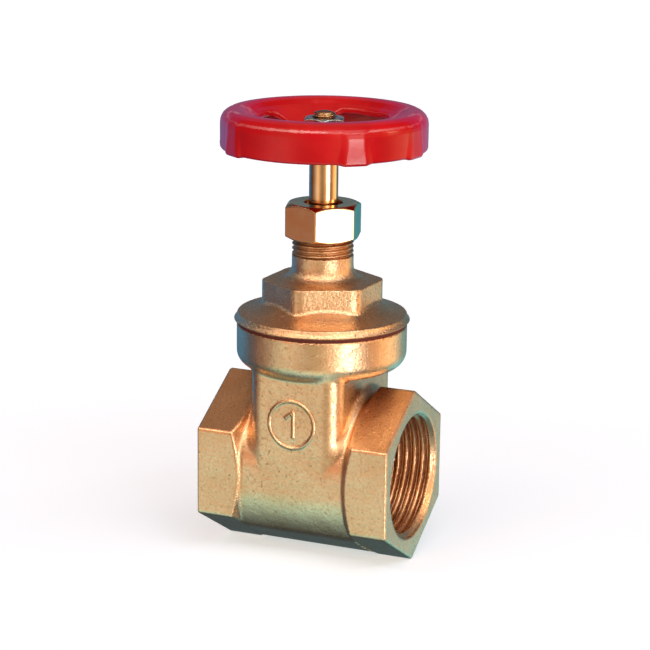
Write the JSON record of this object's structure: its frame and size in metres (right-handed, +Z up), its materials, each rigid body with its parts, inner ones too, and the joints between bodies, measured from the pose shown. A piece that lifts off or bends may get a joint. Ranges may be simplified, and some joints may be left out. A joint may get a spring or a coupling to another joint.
{
  "type": "gate valve",
  "caption": "Brass screwed-end gate valve with a non-rising stem, a wedge gate, a screwed bonnet with a packing gland and a lobed red pressed-steel handwheel.",
  "frame": {"origin": "on the stem's axis, level with the lowest corner of the end hexagons; the pipe's axis is 23.094 mm above it", "axes": "+X along the pipe's axis to the outlet, +Z up the stem, -Y towards the face with the size mark"},
  "size_m": [0.0549, 0.0532, 0.1175],
  "materials": {
    "cast_brass": "shot-blasted brass casting, fine grain, satin",
    "machined_brass": "turned brass, bright with fine tool marks",
    "red_enamel": "thick glossy stove enamel on pressed steel",
    "zinc_steel": "bright zinc plate",
    "gasket_fibre": "red-brown pressed fibre sheet, matt",
    "packing_white": "white fluoropolymer, matt"
  },
  "bodies": {
    "housing": {"valve_body": "cast_brass", "bonnet_gasket": "gasket_fibre", "bonnet": "cast_brass", "stem_retaining_ring": "machined_brass", "thrust_washer": "packing_white", "packing_base_washer": "machined_brass", "packing_ring_lower": "packing_white", "packing_ring_middle": "packing_white", "packing_ring_upper": "packing_white"},
    "stem_and_wheel": {"stem": "machined_brass", "handwheel": "red_enamel", "handwheel_washer": "zinc_steel", "handwheel_nut": "zinc_steel"},
    "gate": {"gate_wedge": "cast_brass"},
    "gland": {"gland_follower": "machined_brass"},
    "gland_nut": {"packing_nut": "machined_brass"}
  },
  "joints": [
    {"name": "stem_turn", "type": "hinge", "parent": "housing", "child": "stem_and_wheel", "pos_m": [0, 0, 0.1], "axis": [0, 0, 1], "range_deg": [0, 2160]},
    {"name": "gate_lift", "type": "slide", "parent": "housing", "child": "gate", "axis": [0, 0, 1], "range_m": [0, 0.024]},
    {"name": "gland_rise", "type": "slide", "parent": "housing", "child": "gland", "axis": [0, 0, 1], "range_m": [0, 0.0025]},
    {"name": "packing_nut_turn", "type": "hinge", "parent": "gland", "child": "gland_nut", "pos_m": [0, 0, 0.088], "axis": [0, 0, 1], "range_deg": [0, 720]}
  ],
  "couplings": [
    {"joint": "gate_lift", "follows": "stem_turn", "m_per_rad": 0.00063662},
    {"joint": "gland_rise", "follows": "packing_nut_turn", "m_per_rad": 0.00019894}
  ]
}
